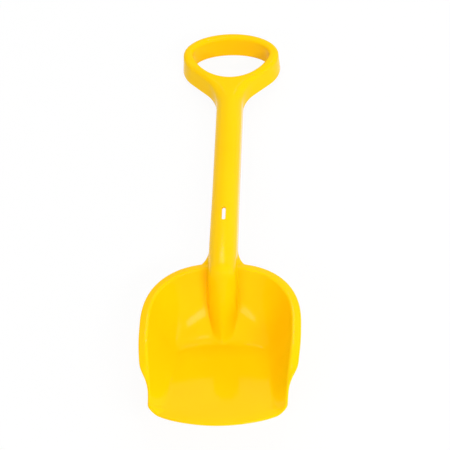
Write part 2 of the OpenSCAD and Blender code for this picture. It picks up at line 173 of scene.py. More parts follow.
class ShovelSizes(bpy.types.PropertyGroup):
    """Sizes of the moulding, drawn flat with the shaft along Y."""

    wall: length("Wall", "Thickness of the scoop's wall", 2.6)
    scoop_w: length("Scoop width", "Width over the rim", 148)
    scoop_l: length("Scoop length", "From the back of the rim to the tip of the lip", 180.3)
    back_l: length("Back length", "From the back of the rim to the widest line", 75)
    heel_depth: length("Heel depth", "Depth of the heel below the back edges", 44)
    lip_depth: length("Lip depth", "Depth of the lip below the back edges", 9)
    floor_w: length("Floor width", "Width of the flat floor", 80)
    floor_back_l: length("Floor back", "Reach of the flat floor behind the widest line", 11)
    front_w: length("Front width", "Width between the front corners, outside", 124.8)
    front_r: length("Front radius", "Radius of the lip's edge in plan", 100)
    front_corner_r: length("Front corner", "Radius of the front corners in plan", 6)
    floor_front_w: length("Floor front", "Width of the flat floor at the front corners", 94)
    floor_corner_r: length("Floor corner", "Radius of the floor's front corners", 6)
    lip_w: length("Lip width", "Width of the digging lip in front of the floor", 12)
    lip_edge: length("Lip edge", "Thickness of the lip at its edge", 1.8)
    lip_flat: share("Lip flattening", "How much less the lip slopes at its edge", 0.09)
    corner_depth: length("Corner depth", "Depth of the front corners below the back edges", 10.2)
    side_straight_l: length("Straight side", "From the widest line to where the sides draw in", 10)
    rim_level_l: length("Level rim", "From the widest line to where the rim drops", 26)
    back_power: setting("Back power", "Squareness of the back's curve", 2.45)
    lip_straight_w: length("Straight lip", "Width of the lip that lies in the floor's plane", 104)
    lip_power: setting("Lip power", "How late the lip lifts to its corners", 1.5)
    bend: share("Bend", "How soon the walls turn up, per width", 0.6)

    rim_w: length("Rim width", "From the top of the wall to the rim's outer edge", 9.4)
    rim_top: length("Rim height", "Height of the rim's crest above the back edges", 4.2)
    rim_round: length("Rim rounding", "Radius of the rim's rounded crest", 2.8)
    rim_fall: turn("Rim fall", "Slope of the rim's flange", 18)
    rim_straight_l: length("Straight rim", "From the widest line to where the rim narrows", 40)
    rim_taper_l: length("Rim taper", "Length over which the rim narrows to a plain edge", 31)

    shaft_w: length("Shaft width", "Width of the shaft at its back edges", 26.8)
    shaft_h: length("Shaft height", "From the back edges to the crown", 22)
    shaft_wall: length("Shaft wall", "Thickness of the shaft's wall", 2.4)
    shaft_l: length("Shaft length", "From the scoop's rim to the fork of the grip", 202.4)
    draft: share("Draft", "How much the walls lean, per height", 0.07)
    slot_w: length("Slot width", "Width of the slot through the crown", 4.4)
    slot_l: length("Slot length", "Length of the slot through the crown", 17)
    slot_y: length("Slot place", "From the scoop's rim to the middle of the slot", 45.4)

    spine_y: length("Spine turn", "From the rim to where the spine's crown line turns down", 26)
    spine_angle: turn("Spine slope", "Slope of the spine down the back of the scoop", 63)
    spine_r: length("Spine bend", "Radius of the bend of the spine's crown line", 12)
    spine_w: length("Spine strip", "Width of the strip that carries the spine", 38)
    spine_blend: length("Spine blend", "Height of the blend between the spine and the scoop", 12)
    spine_tip_w: length("Spine tip width", "Width of the soft mound that the spine runs out in", 34)
    spine_run_out: length("Spine run-out", "Height over which the mound eases into the wall", 7)
    spine_taper: share("Spine taper", "How much narrower the spine is at its tip", 0.75)
    spine_taper_h: length("Spine taper height", "Height above the heel below which the spine narrows", 48)
    flare_l: length("Flare length", "Length of the flares where the shaft meets the rim", 17)
    flare_power: setting("Flare power", "Squareness of the flares' curve", 1.6)
    neck_l: length("Neck length", "Length over which the shaft widens towards the scoop", 90)
    neck_swell: share("Neck swell", "How much wider the shaft is at the scoop", 0.03)

    grip_w: length("Grip width", "Width of the grip at its back edges", 99)
    grip_h: length("Grip height", "From the back edges to the grip's face", 23)
    grip_wall: length("Grip wall", "Thickness of the grip's walls", 2.0)
    grip_top_l: length("Grip top", "From the widest line of the grip to its top", 31.5)
    grip_corner_r: length("Grip corner", "Radius of the grip's lower corners", 33.4)
    grip_round: length("Grip rounding", "Radius of the grip's outer edge", 4.4)
    fork_r: length("Fork radius", "Radius of the fork's sides at the shaft", 36)
    hole_w: length("Hole width", "Width of the hand hole", 77.2)
    hole_top_l: length("Hole top", "Length of the hand hole above its widest line", 20.2)
    hole_low_l: length("Hole bottom", "Length of the hand hole below its widest line", 33.6)
    hole_low_power: setting("Hole power", "Slimness of the hole's lower half", 1.28)
    hole_round: length("Hole rounding", "Radius of the hand hole's edge", 3.4)
    hole_draft: share("Hole draft", "How much the hole's wall leans, per height", 0.01)

    rib_y: length("First rib", "From the scoop's rim to the first rib", 84)
    rib_pitch: length("Rib spacing", "Spacing of the ribs inside the shaft", 30)
    rib_t: length("Rib thickness", "Thickness of a rib", 1.8)
    rib_set: length("Rib setback", "Depth of the ribs behind the back edges", 1.2)


class ShovelFinish(bpy.types.PropertyGroup):
    """Finish of the moulded plastic."""

    body: colour("Plastic", "Colour of the plastic", (1.0, 0.61, 0.002))
    deep: colour("Deep tone", "Tone of the denser patches", (1.0, 0.585, 0.001))
    gloss: share("Gloss", "Strength of the reflections", 0.05)
    roughness: share("Roughness", "Roughness of the polished surface", 0.08)
    scuff: share("Scuffing", "How much rougher the scuffed places are", 0.05)


class StageSettings(bpy.types.PropertyGroup):
    """The camera's place and its picture."""

    camera_lift: turn("Camera lift", "Angle of the camera above the drawn plane", 47)
    camera_swing: turn("Camera swing", "Angle of the camera to the right of the shaft's line", 4.6)
    camera_roll: turn("Camera roll", "Turn of the camera about its own line of sight", 3.7)
    camera_far: length("Camera distance", "From the camera to what it aims at", 2000)
    camera_aim: length("Camera aim", "Place on the shaft's line that the camera aims at", 50)
    camera_side: length("Camera side", "How far to the right of the shaft's line the camera aims", 0.2)
    pixel: length("Pixel", "Size of a pixel at the place aimed at", 0.95)


def ease(t):
    """Smooth step: 3t^2 - 2t^3 between 0 and 1, level outside."""
    t = np.clip(t, 0, 1)
    return t * t * (3 - 2 * t)


def ease_slope(t):
    """Slope of the smooth step: 6t(1 - t)."""
    return 6 * t * (1 - t)


def mix(a, b, t):
    """Straight mix from a at t = 0 to b at t = 1."""
    return a + (b - a) * t


def signed_power(v, power):
    """Power of the size of v, with the sign of v."""
    return np.sign(v) * np.abs(v) ** power


def smooth_max(a, b, reach):
    """Larger of two heights, raised by (reach - |a - b|)^2 / (4 reach) where they are close."""
    near = np.maximum(reach - np.abs(a - b), 0)
    return np.maximum(a, b) + near * near / (4 * reach)


def shares(count, end=1.0):
    """Even steps from 0 to the end."""
    return np.linspace(0, end, count + 1)


def abreast(*blocks):
    """Blocks of columns side by side."""
    return np.concatenate(blocks, 1)


def circle(angle):
    """Points of the unit circle at a column of angles."""
    return abreast(np.cos(angle), np.sin(angle))


def unit(v):
    """Vectors of length one along the last axis."""
    return v / np.maximum(np.linalg.norm(v, axis=-1, keepdims=True), TINY)


def points(x, y, z):
    """Grid of points from three arrays that spread to one shape."""
    return np.stack(np.broadcast_arrays(x, y, z), axis=-1).astype(float)


def mirrored(grid):
    """Left-hand copy of a right-hand grid, facing the same way."""
    return (grid * FLIP)[:, ::-1]


def weld(blocks):
    """One mesh from grids of points: points in one place become one, and each cell a quad."""
    spots = np.concatenate([b.reshape(-1, 3) for b in blocks])
    _, first, index = np.unique(np.round(spots / WELD).astype(np.int64), axis=0,
                                return_index=True, return_inverse=True)
    quads, start = [], 0
    for b in blocks:
        n = np.arange(b.shape[0] * b.shape[1]).reshape(b.shape[:2]) + start
        quads.append(np.stack([n[:-1, :-1], n[:-1, 1:], n[1:, 1:], n[1:, :-1]], -1).reshape(-1, 4))
        start += n.size
    return spots[first], index.ravel()[np.concatenate(quads)]


def facing(spots, quads):
    """Directions square to a mesh at its points: the cells' directions, weighted by area."""
    p = spots[quads]
    n = np.cross(p[:, 2] - p[:, 0], p[:, 3] - p[:, 1])
    total = np.zeros_like(spots)
    for corner in range(4):
        np.add.at(total, quads[:, corner], n)
    return unit(total)


def shell(spots, quads, thick, bulge, boxy=False):
    """Closed wall behind a surface: the back lies `thick` behind it, along normals that are averaged
    with their neighbours' so that it has no folds. Every free edge is closed by a bead, middle +
    thick/2 cos(a) normal + bulge sin(a) outward, with powers of both where `boxy` squares it off."""
    count = len(spots)
    normal = facing(spots, quads)
    edges = quads[:, [[0, 1], [1, 2], [2, 3], [3, 0]]].reshape(-1, 2)
    edges = edges[edges[:, 0] != edges[:, 1]]
    free = edges[~np.isin(edges[:, 0] * count + edges[:, 1], edges[:, 1] * count + edges[:, 0])]
    rim, where = np.unique(free, return_inverse=True)
    where = where.reshape(-1, 2)
    calm = normal.copy()
    for _ in range(CALM_STEPS):
        total = calm.copy()
        np.add.at(total, edges[:, 0], calm[edges[:, 1]])
        calm = unit(total)
        calm[rim] = normal[rim]
    back = spots - thick[:, None] * calm
    along = spots[free[:, 1]] - spots[free[:, 0]]
    flat = (bulge[free] == 0).all(axis=1)
    outward = np.zeros((len(rim), 3))
    for end in range(2):
        side = np.cross(along, normal[free[:, end]]) * np.where(flat, FAINT, 1)[:, None]
        np.add.at(outward, where[:, end], side)
    outward = unit(outward - (outward * normal[rim]).sum(-1, keepdims=True) * normal[rim])
    angle = shares(BEAD_STEPS, pi)[1:-1, None]
    power = np.where(np.broadcast_to(boxy, count)[rim], BOXY_POWER, 1.0)[None]
    up = signed_power(np.cos(angle), power) * thick[rim] / 2
    out = np.sin(angle) ** power * bulge[rim]
    middle = (spots[rim] + back[rim]) / 2
    bead = middle + up[..., None] * normal[rim] + out[..., None] * outward
    rows = np.concatenate([rim[None], 2 * count + np.arange(bead[..., 0].size).reshape(bead.shape[:2]),
                           count + rim[None]])
    a, b = where.T
    strips = np.stack([rows[:-1, b], rows[:-1, a], rows[1:, a], rows[1:, b]], -1).reshape(-1, 4)
    return (np.concatenate([spots, back, bead.reshape(-1, 3)]),
            np.concatenate([quads, count + quads[:, ::-1], strips]))


def lay(spots, s):
    """Places of drawn points on the ground: the grip's mount gives the lean and the place."""
    ring = next(m for m in frame["record"]["mounts"] if m["name"] == "hand_ring")
    at, up = np.array(ring["pos_m"]), unit(np.array(ring["axis"]))
    along = np.array((0, up[2], -up[1]))
    flat = spots - (0, grip_middle(s), s.grip_h / 2)
    return at + flat[:, :1] * (1, 0, 0) + flat[:, 1:2] * along + flat[:, 2:] * up


# Scoop


def floor_slope(s):
    """Rise of the floor towards the lip, per length."""
    return (s.heel_depth - s.lip_depth) / (s.scoop_l - s.back_l + s.floor_back_l)


def floor_height(s, y):
    """Height of the floor's plane at the place y."""
    return -s.heel_depth + (s.floor_back_l - s.back_l - y) * floor_slope(s)


def rise(s, h):
    """Rise of a wall at the share h of its width: (sqrt(h^2 + c^2) - c) / (sqrt(1 + c^2) - c)."""
    return (np.sqrt(h * h + s.bend ** 2) - s.bend) / (sqrt(1 + s.bend ** 2) - s.bend)


def rise_end(s):
    """Slope of the rise at the top of the wall."""
    return 1 / sqrt(1 + s.bend ** 2) / (sqrt(1 + s.bend ** 2) - s.bend)


def wall_axes(s, h):
    """Half widths, and lengths behind the widest line: of the wall's foot, of its top, and at shares h."""
    foot, top = (s.floor_w / 2, s.floor_back_l), (s.scoop_w / 2 - s.rim_w, s.back_l - s.rim_w)
    return foot, top, [mix(low, high, h) for low, high in zip(foot, top)]


def spread(x, y, inner, outer, power):
    """Share of the wall's width gained per length square to its top, and that direction, where the
    rows are superellipses that grow from the half axes `inner` to `outer`."""
    (a, b), (da, db) = outer, (outer[0] - inner[0], outer[1] - inner[1])
    gx = np.abs(x / a) ** (power - 1) * np.sign(x) / a
    gy = np.abs(y / b) ** (power - 1) * np.sign(y) / b
    size = np.hypot(gx, gy)
    gain = size / (np.abs(x / a) ** power * da / a + np.abs(y / b) ** power * db / b)
    return gain, gx / size, gy / size


def front_curve(half, radius, corner, part):
    """Front edge in plan from the side to the middle, at shares of its length: an arc of the corner's
    radius, then one of the front's. Gives the places across, how far ahead of the side's end they lie,
    and the direction square to the curve."""
    opening = asin((half - corner) / (radius - corner))
    depth = radius - (radius - corner) * cos(opening)
    first = corner * (pi / 2 - opening)
    run = part * (first + radius * opening)
    small = np.minimum(run / corner, pi / 2 - opening)
    large = opening - np.maximum(run - first, 0) / radius
    bend = run < first
    x = np.where(bend, half - corner + corner * np.cos(small), radius * np.sin(large))
    ahead = np.where(bend, corner * np.sin(small), depth - radius + radius * np.cos(large))
    turn_x = np.where(bend, np.cos(small), np.sin(large))
    turn_y = np.where(bend, np.sin(small), np.cos(large))
    return x, ahead, turn_x, turn_y


def rim_rows(s, top, slope, out_x, out_y, taper):
    """Rows over the rim from the top of the wall: an arc of the rim's rounding from the wall's slope
    to the flange's fall, then the straight flange. Where the rim tapers off, both shrink away."""
    radius = s.rim_round
    turned = (slope + s.rim_fall) * taper
    k = shares(ROUND_ROWS)[1:, None]
    edge = PLAIN_EDGE * (1 - taper) * k
    d = radius * (np.sin(slope) - np.sin(slope - turned * k)) + edge * np.cos(slope)
    z = radius * (np.cos(slope - turned * k) - np.cos(slope)) + edge * np.sin(slope)
    bead = s.wall / 2 * cos(s.rim_fall)
    full = (s.rim_w - radius * (np.sin(slope) + sin(s.rim_fall)) - bead) / cos(s.rim_fall)
    reach = mix(PLAIN_EDGE, full, taper) * shares(FLANGE_ROWS)[1:, None]
    d = np.concatenate([d, d[-1:] + reach * np.cos(slope - turned)])
    z = np.concatenate([z, z[-1:] + reach * np.sin(slope - turned)])
    return points(top[..., 0] + out_x * d, top[..., 1] + out_y * d, top[..., 2] + z)


def wall_heights(s, y, h, crest, gain, taper):
    """Slope of a wall at its top, and its heights: from the floor's to the top's by the rise. The top
    lies below the crest by the height of the rim's rounding."""
    slope = np.arctan((crest - floor_height(s, y[-1:])) * rise_end(s) * gain)
    top = crest - s.rim_round * (1 - np.cos(slope)) * taper
    return slope, mix(floor_height(s, y), top, rise(s, h))


def scoop_half(s):
    """Right-hand wall and rim of the scoop, from the spine's strip round the back, along the side and
    round the front to the middle of the lip. In plan, rows are superellipses at the back and straight
    mixes elsewhere, and the height is the floor's plus the rise of the wall."""
    h = shares(WALL_ROWS)[:, None]
    inner, outer, (a, b) = wall_axes(s, h)
    wide, widest = outer[0], -s.back_l

    angle = np.linspace(1, 0, BACK_COLS + 1) * np.arccos((s.spine_w / 2 / a) ** (s.back_power / 2))
    back_x = a * np.cos(angle) ** (2 / s.back_power)
    back_y = b * np.sin(angle) ** (2 / s.back_power)
    gain_b, nx_b, ny_b = spread(back_x[-1:], back_y[-1:], inner, outer, s.back_power)
    top_b = np.full_like(gain_b, s.rim_top)

    part = shares(BACK_COLS + FLANK_COLS + FOOT_COLS + CROWN_COLS)[1:]
    front_half = s.front_w / 2 - s.wall
    in_x, in_run, _, _ = front_curve(s.floor_front_w / 2, s.front_r - s.lip_w, s.floor_corner_r, part)
    out_x, out_run, turn_x, turn_y = front_curve(front_half, s.front_r, s.front_corner_r, part)
    in_corner = in_run[-1] + s.lip_w - s.scoop_l
    out_corner = out_run[-1] + s.lip_edge / 2 - s.scoop_l
    in_y, out_y = in_corner - in_run, out_corner - out_run

    u = shares(SIDE_COLS)[None, 1:]
    side_l = widest - out_corner
    drawn = np.clip((u * side_l - s.side_straight_l) / (side_l - s.side_straight_l), 0, 1)
    side_half = mix(wide, front_half, ease(drawn))
    low_half = mix(inner[0], s.floor_front_w / 2, u)
    side_x = mix(low_half, side_half, h)
    side_y = mix(widest, mix(in_corner, out_corner, h), u)
    inward = ease_slope(drawn) * (wide - front_half) / (side_l - s.side_straight_l)
    side_n = unit(np.stack([np.ones_like(inward), -inward], -1))
    gain_s = 1 / ((side_half - low_half) * side_n[..., 0] + (out_corner - in_corner) * u * side_n[..., 1])
    top_s = mix(s.rim_top, -s.corner_depth, ease((u * side_l - s.rim_level_l) / (side_l - s.rim_level_l)))

    front_x, front_y = mix(in_x[None], out_x[None], h), mix(in_y[None], out_y[None], h)
    gain_f = 1 / ((out_x - in_x) * turn_x + (in_y - out_y) * turn_y)[None]
    beside = np.clip((out_x[None] - s.lip_straight_w / 2) / (front_half - s.lip_straight_w / 2), 0, 1)
    lift = (-s.corner_depth - floor_height(s, out_corner)) * beside ** s.lip_power
    flat = s.lip_flat * (1 - beside)

    # Back and side: the height is mixed from the floor's to the top's.
    x, y = abreast(back_x, side_x), abreast(widest + back_y, side_y)
    crest, gain = abreast(top_b, top_s), abreast(gain_b, gain_s)
    taper = abreast(np.ones_like(top_b), 1 - ease((u * side_l - s.rim_straight_l) / s.rim_taper_l))
    slope, z = wall_heights(s, y, h, crest, gain, taper)
    # Front: the wall's lift above the floor fades out towards the middle of the lip.
    z_f = floor_height(s, front_y) + lift * rise(s, h) - flat * s.lip_w * h * h / 2
    slope_f = np.arctan(floor_slope(s) * turn_y[None] + lift * rise_end(s) * gain_f - flat)

    wall = points(abreast(x, front_x), abreast(y, front_y), abreast(z, z_f))
    across = abreast(nx_b, side_n[..., 0], turn_x[None])
    along = abreast(ny_b, side_n[..., 1], -turn_y[None])
    rim = rim_rows(s, wall[-1:], abreast(slope, slope_f), across, along,
                   abreast(taper, np.zeros_like(gain_f)))
    return np.concatenate([wall, rim])


def crown_radius(s):
    """Radius of the shaft's crown, which meets the leaning walls at its widest."""
    return (s.shaft_w / 2 - s.draft * s.shaft_h) / (1 - s.draft)


def flank(s, r, drop):
    """Even steps down a section from the end of its rounding r to the back edge, `drop` below the
    rounding's centre: angles round the rest of the arc, and ways down the leaning wall."""
    lean = hypot(1, s.draft)
    last = r * (pi / 2 - CROWN_END)
    run = shares(FLANK_COLS + FOOT_COLS)[:, None] * (last + drop * lean)
    return np.minimum(CROWN_END + run / r, pi / 2), np.maximum(run - last, 0) / lean


def section(s):
    """Section of the shaft across both halves: an arc, then the leaning walls, as x and z."""
    r = crown_radius(s)
    spring = s.shaft_h - r
    arc = shares(CROWN_COLS, CROWN_END)
    around, down = [v[1:, 0] for v in flank(s, r, spring - s.shaft_wall / 2)]
    x = np.concatenate([r * np.sin(arc), r * np.sin(around) + s.draft * down])
    z = np.concatenate([spring + r * np.cos(arc), spring + r * np.cos(around) - down])
    return whole(x, -1), whole(z, 1)


def whole(half, sign):
    """Row across both halves from the right-hand one: its mirror image times the sign, and itself."""
    return np.concatenate([sign * half[:0:-1], half])


def spine_foot(s):
    """Place beside the shaft's line where the spine's steep flank ends."""
    return s.shaft_w / 2 + FOOT_GAP


def strip_columns(s):
    """Places across the spine's strip: over the crown, down the steep flank and out to its edge."""
    crown = crown_radius(s) * np.sin(shares(CROWN_COLS, CROWN_END))
    steep = np.linspace(crown[-1], spine_foot(s), FLANK_COLS + 1)[1:]
    edge = mix(spine_foot(s), s.spine_w / 2, shares(FOOT_COLS)[1:] ** FOOT_CROWD)
    return whole(np.concatenate([crown, steep, edge]), -1)


def crown_line(s, y):
    """Crown line of the spine over the place y: level, then an arc, then a slope down the back wall.
    Gives its height and how steep it is."""
    bend = s.spine_r
    start = bend * tan(s.spine_angle / 2) - s.spine_y
    far = bend * sin(s.spine_angle)
    into = np.clip(start - y, 0, far)
    level = np.sqrt(bend * bend - into * into)
    line = s.shaft_h - bend + level - np.maximum(start - far - y, 0) * tan(s.spine_angle)
    return line, into / level


def crown_drop(s, x):
    """Drop of the shaft's section beside its crown: an arc, then the steep flank."""
    r = crown_radius(s)
    wide, deep = r * sin(CROWN_END), r * (1 - cos(CROWN_END))
    inside = np.minimum(np.abs(x), wide)
    steep = (s.shaft_h - deep) / (s.shaft_w / 2 - wide)
    return r - np.sqrt(r * r - inside * inside) + (np.abs(x) - inside) * steep


def scoop_strip(s):
    """Strip of the scoop that carries the spine, from the floor over the rim, and the neck beyond it.
    The height is the smooth larger of the wall's and the spine's, the crown line less the section's
    drop. Towards the heel the spine narrows into a soft mound with the section (1 - q^2)^2, whose
    height p above the wall is eased to p^2 / (p + c). Over the neck the strip's end turns into the
    shaft's section along a quarter of a superellipse, which gives the flares."""
    x = strip_columns(s)[None]
    h = shares(WALL_ROWS)[:, None]
    inner, outer, (a, b) = wall_axes(s, h)
    arch = b * (1 - np.abs(x / a) ** s.back_power) ** (1 / s.back_power)
    gain, nx, ny = spread(x, arch[-1:], inner, outer, s.back_power)
    y = arch - s.back_l
    slope, z = wall_heights(s, y, h, s.rim_top, gain, 1)
    wall = points(x, y, z)
    foot = spine_foot(s)
    turn_out = ease((np.abs(x) - foot) / (s.spine_w / 2 - foot))
    strip = np.concatenate([wall, rim_rows(s, wall[-1:], slope, nx * turn_out, ny, 1)])
    base, centre = strip[..., 2], strip[:, strip.shape[1] // 2]
    line, pitch = crown_line(s, strip[..., 1])
    high = np.clip((line + s.heel_depth) / s.spine_taper_h, 0, 1)
    narrow = 1 + s.spine_taper * (1 - high)
    spine = line - crown_drop(s, strip[..., 0] * narrow) * np.hypot(1, pitch)
    ridge = smooth_max(base, spine, s.spine_blend)
    proud = np.maximum(line - np.interp(strip[..., 1], centre[:, 1], centre[:, 2]), 0)
    tip_half = s.spine_tip_w / 2 * np.maximum(high, TIP_LEAST) ** TIP_POWER
    beside = np.clip(strip[..., 0] / tip_half, -1, 1)
    mound = base + proud ** 2 / (proud + s.spine_run_out) * (1 - beside ** 2) ** 2
    strip[..., 2] = mix(mound, ridge, ease(high))

    end, sx, sz = strip[-1], *section(s)
    a = shares(NECK_ROWS, pi / 2)[1:, None]
    inward, onward = np.sin(a) ** (2 / s.flare_power), 1 - np.cos(a) ** (2 / s.flare_power)
    neck_x = mix(end[:, 0], sx * swell(s, s.flare_l * onward), inward)
    neck_y = mix(np.interp(neck_x, end[:, 0], end[:, 1]), s.flare_l, onward)
    neck = points(neck_x, neck_y, mix(end[:, 2], sz, inward))
    last = points(sx[None] * swell(s, seam(s)), seam(s), sz[None])
    return np.concatenate([strip, neck, last])


def seam(s):
    """Place where the scoop's piece ends and the handle's begins."""
    return s.flare_l + SEAM_GAP


def swell(s, y):
    """How much wider the shaft is near the scoop: a factor that eases to 1 along the neck."""
    return 1 + s.neck_swell * ease((s.neck_l - y) / s.neck_l)


def scoop_floor(s, back, side, front):
    """Flat floor between the lowest rows of the walls. In plan it is the mix from back to front, plus
    the mix from side to side, less the mix of the four corners."""
    v, u = shares(len(side) - 1)[:, None, None], shares(len(back) - 1)[:, None]
    left = side * FLIP
    corners = mix(mix(back[0], back[-1], u), mix(front[0], front[-1], u), v)
    flat = mix(back[None], front[None], v) + mix(left[:, None], side[:, None], u) - corners
    return points(flat[..., 0], flat[..., 1], floor_height(s, flat[..., 1]))


def edge_bulge(s, spots, thick):
    """Bulge of free edges: half the wall, but none along the seam above the shaft's back edges."""
    cut = np.abs(spots[:, 1] - seam(s)) < WELD
    return np.where(cut & (np.abs(spots[:, 2]) > s.shaft_wall / 2 + WELD), 0, thick / 2)


def make_scoop(s):
    """Points and faces of the scoop's closed wall."""
    half = scoop_half(s)
    strip = scoop_strip(s)
    loop = np.concatenate([strip[0][strip.shape[1] // 2:-1], half[0]])
    first = strip.shape[1] // 2 + BACK_COLS - FLOOR_TURN_COLS
    side = loop[first:len(loop) - first]
    back, front = loop[:first + 1], loop[-first - 1:][::-1]
    floor = scoop_floor(s, whole(back, FLIP), side, whole(front, FLIP))
    spots, quads = weld([half, mirrored(half), strip, floor[:, ::-1]])
    forward = np.clip((s.lip_w - s.scoop_l - spots[:, 1]) / s.lip_w, 0, 1)
    middle = ease((s.front_w / 2 - np.abs(spots[:, 0])) / (s.front_w / LIP_FADE))
    thick = mix(s.wall, s.lip_edge, ease(forward) * middle)
    thick = mix(thick, s.shaft_wall, ease(spots[:, 1] / s.flare_l))
    return shell(spots, quads, thick, edge_bulge(s, spots, thick))


# Handle


def grip_middle(s):
    """Place of the grip's widest line: the fork's two curves meet on a diagonal."""
    fork_x = s.shaft_w / 2 + s.fork_r
    corner_x = s.grip_w / 2 - s.grip_corner_r
    return s.shaft_l - fork_x + corner_x + sqrt(2) * (s.fork_r + s.grip_corner_r)


def cut_line(s):
    """Place where the shaft's section hands over to the fork."""
    return s.shaft_l - FORK_LEAD


def outline(s, count):
    """Right-hand outline of the fork and the grip at the back edges, in even steps: a straight, two
    arcs that meet on a diagonal, and a quarter of an ellipse. Gives places and ways square to it."""
    fork = np.array((s.shaft_w / 2 + s.fork_r, s.shaft_l))
    corner = np.array((s.grip_w / 2 - s.grip_corner_r, grip_middle(s)))
    fine = np.linspace(0, 1, FINE_STEPS)[:, None]
    straight = mix(np.array((s.shaft_w / 2, cut_line(s))), np.array((s.shaft_w / 2, s.shaft_l)), fine)
    bend = fork + s.fork_r * circle(pi - fine * pi / 4)
    round_end = corner + s.grip_corner_r * circle(fine * pi / 4 - pi / 4)
    top = (0, grip_middle(s)) + circle(fine * pi / 2) * (s.grip_w / 2, s.grip_top_l)
    line = np.concatenate([straight, bend, round_end, top])
    run = np.concatenate([[0], np.cumsum(np.hypot(*np.diff(line, axis=0).T))])
    at = shares(count, run[-1])

    def along(place):
        """Points of the line at lengths from its start."""
        return np.stack([np.interp(place, run, line[:, k]) for k in range(2)], -1)

    way = unit(along(at + WAY_STEP) - along(at - WAY_STEP))
    way[0], way[-1] = (0, 1), (-1, 0)
    return along(at), np.stack([way[:, 1], -way[:, 0]], -1)


def edge_radius(s, y):
    """Rounding of the handle's outer edge: the shaft's crown, easing into the grip's edge."""
    return mix(crown_radius(s), s.grip_round, ease((y - cut_line(s) - EDGE_LEAD) / EDGE_EASE))


def handle_wall(s, y):
    """Thickness of the handle's wall, easing from the shaft's to the grip's."""
    return mix(s.shaft_wall, s.grip_wall, ease((y - cut_line(s)) / WALL_EASE))


def face_height(s, y):
    """Height of the handle's face, which rises a little from the shaft to the grip."""
    return mix(s.shaft_h, s.grip_h, ease((y - cut_line(s)) / (grip_middle(s) - cut_line(s))))


def grip_stations(s):
    """Stations along the fork and the grip: the outline's places and directions, the rounding, the
    face's height, the lean of the wall below the rounding, and where the face begins."""
    spot, out = outline(s, FORK_COLS)
    r = edge_radius(s, spot[:, 1])
    face = face_height(s, spot[:, 1])
    for _ in range(FACE_PASSES):
        lean = s.draft * (face - r)
        face_spot = spot - (lean + r)[:, None] * out
        face = face_height(s, face_spot[:, 1])
    return spot, out, r, face, lean, face_spot


def round_rows(station, angle):
    """Points of the outer edge's rounding at angles from its top: r sin across and r cos up."""
    spot, out, r, face, lean, _ = station
    inset = lean + r * (1 - np.sin(angle))
    flat = spot - inset[..., None] * out
    return points(flat[..., 0], flat[..., 1], face - r * (1 - np.cos(angle)))


def hole_edge(s, angle, out, z):
    """Hand hole at an angle, widened by `out`, at the height z: half an ellipse above its widest line,
    and below it a curve whose depth is a power of the sine."""
    sine = np.sin(angle)
    tall = np.where(sine > 0, s.hole_top_l, s.hole_low_l) + out
    depth = np.where(sine > 0, sine, signed_power(sine, s.hole_low_power))
    return points((s.hole_w / 2 + out) * np.cos(angle), grip_middle(s) + tall * depth, z)


def hole_rows(s, angle):
    """Rows of the hand hole's leaning wall from its back edge up, then over its rounded edge."""
    r = s.hole_round
    face = face_height(s, hole_edge(s, angle, 0, 0)[..., 1])[None]
    z = mix(s.grip_wall / 2, face - r, shares(HOLE_ROWS)[:, None])
    wall = hole_edge(s, angle[None], -s.hole_draft * (face - r - z), z)
    a = shares(HOLE_ROUND_ROWS, pi / 2)[1:, None]
    curl = hole_edge(s, angle[None], r * (1 - np.cos(a)), face - r + r * np.sin(a))
    return np.concatenate([wall, curl])


def face_rows(s, start, end):
    """Rows of the face from the hole's edge to the outer edge's rounding: straight mixes in plan."""
    k = shares(FACE_ROWS + 1)[1:-1, None, None]
    flat = mix(start[None], end[None], k)
    flat[..., 2] = face_height(s, flat[..., 1])
    return flat


def outer_rows(s, station):
    """Rows of the handle's outside from the end of its edge's rounding to the back edge."""
    spot, out, r, face, lean, _ = station
    spring = face - r
    around, down = flank(s, r, spring - handle_wall(s, spot[:, 1]) / 2)
    inset = lean - s.draft * down + r * (1 - np.sin(around))
    flat = spot - inset[..., None] * out
    return points(flat[..., 0], flat[..., 1], spring + r * np.cos(around) - down)


def fork_sweep(station, outer):
    """Sections of the fork from the shaft to just below the hole: a flat, the edge's rounding and the
    outer wall. Columns ease from even shares of the length to ones that fit the last rounding."""
    columns = [v[:, None] for v in station]
    _, _, r, face, _, face_spot = columns
    flat_l = np.maximum(face_spot[..., 0], 0)
    whole_l = flat_l + r * CROWN_END
    steps = np.arange(CROWN_COLS + 1)
    arc = (steps - FLAT_COLS) / (CROWN_COLS - FLAT_COLS) * r[-1] * CROWN_END
    wanted = np.where(steps < FLAT_COLS, flat_l[-1] * steps / FLAT_COLS, flat_l[-1] + arc) / whole_l[-1]
    run = mix(steps / CROWN_COLS, wanted, ease(shares(len(r) - 1))[:, None]) * whole_l
    curved = round_rows(columns, np.maximum(run - flat_l, 0) / r)
    level = points(run, face_spot[..., 1], face)
    top = np.where((run < flat_l)[..., None], level, curved)
    right = abreast(top, outer[1:].transpose(1, 0, 2))
    right[:, 0, 0] = 0
    return abreast((right * FLIP)[:, :0:-1], right)


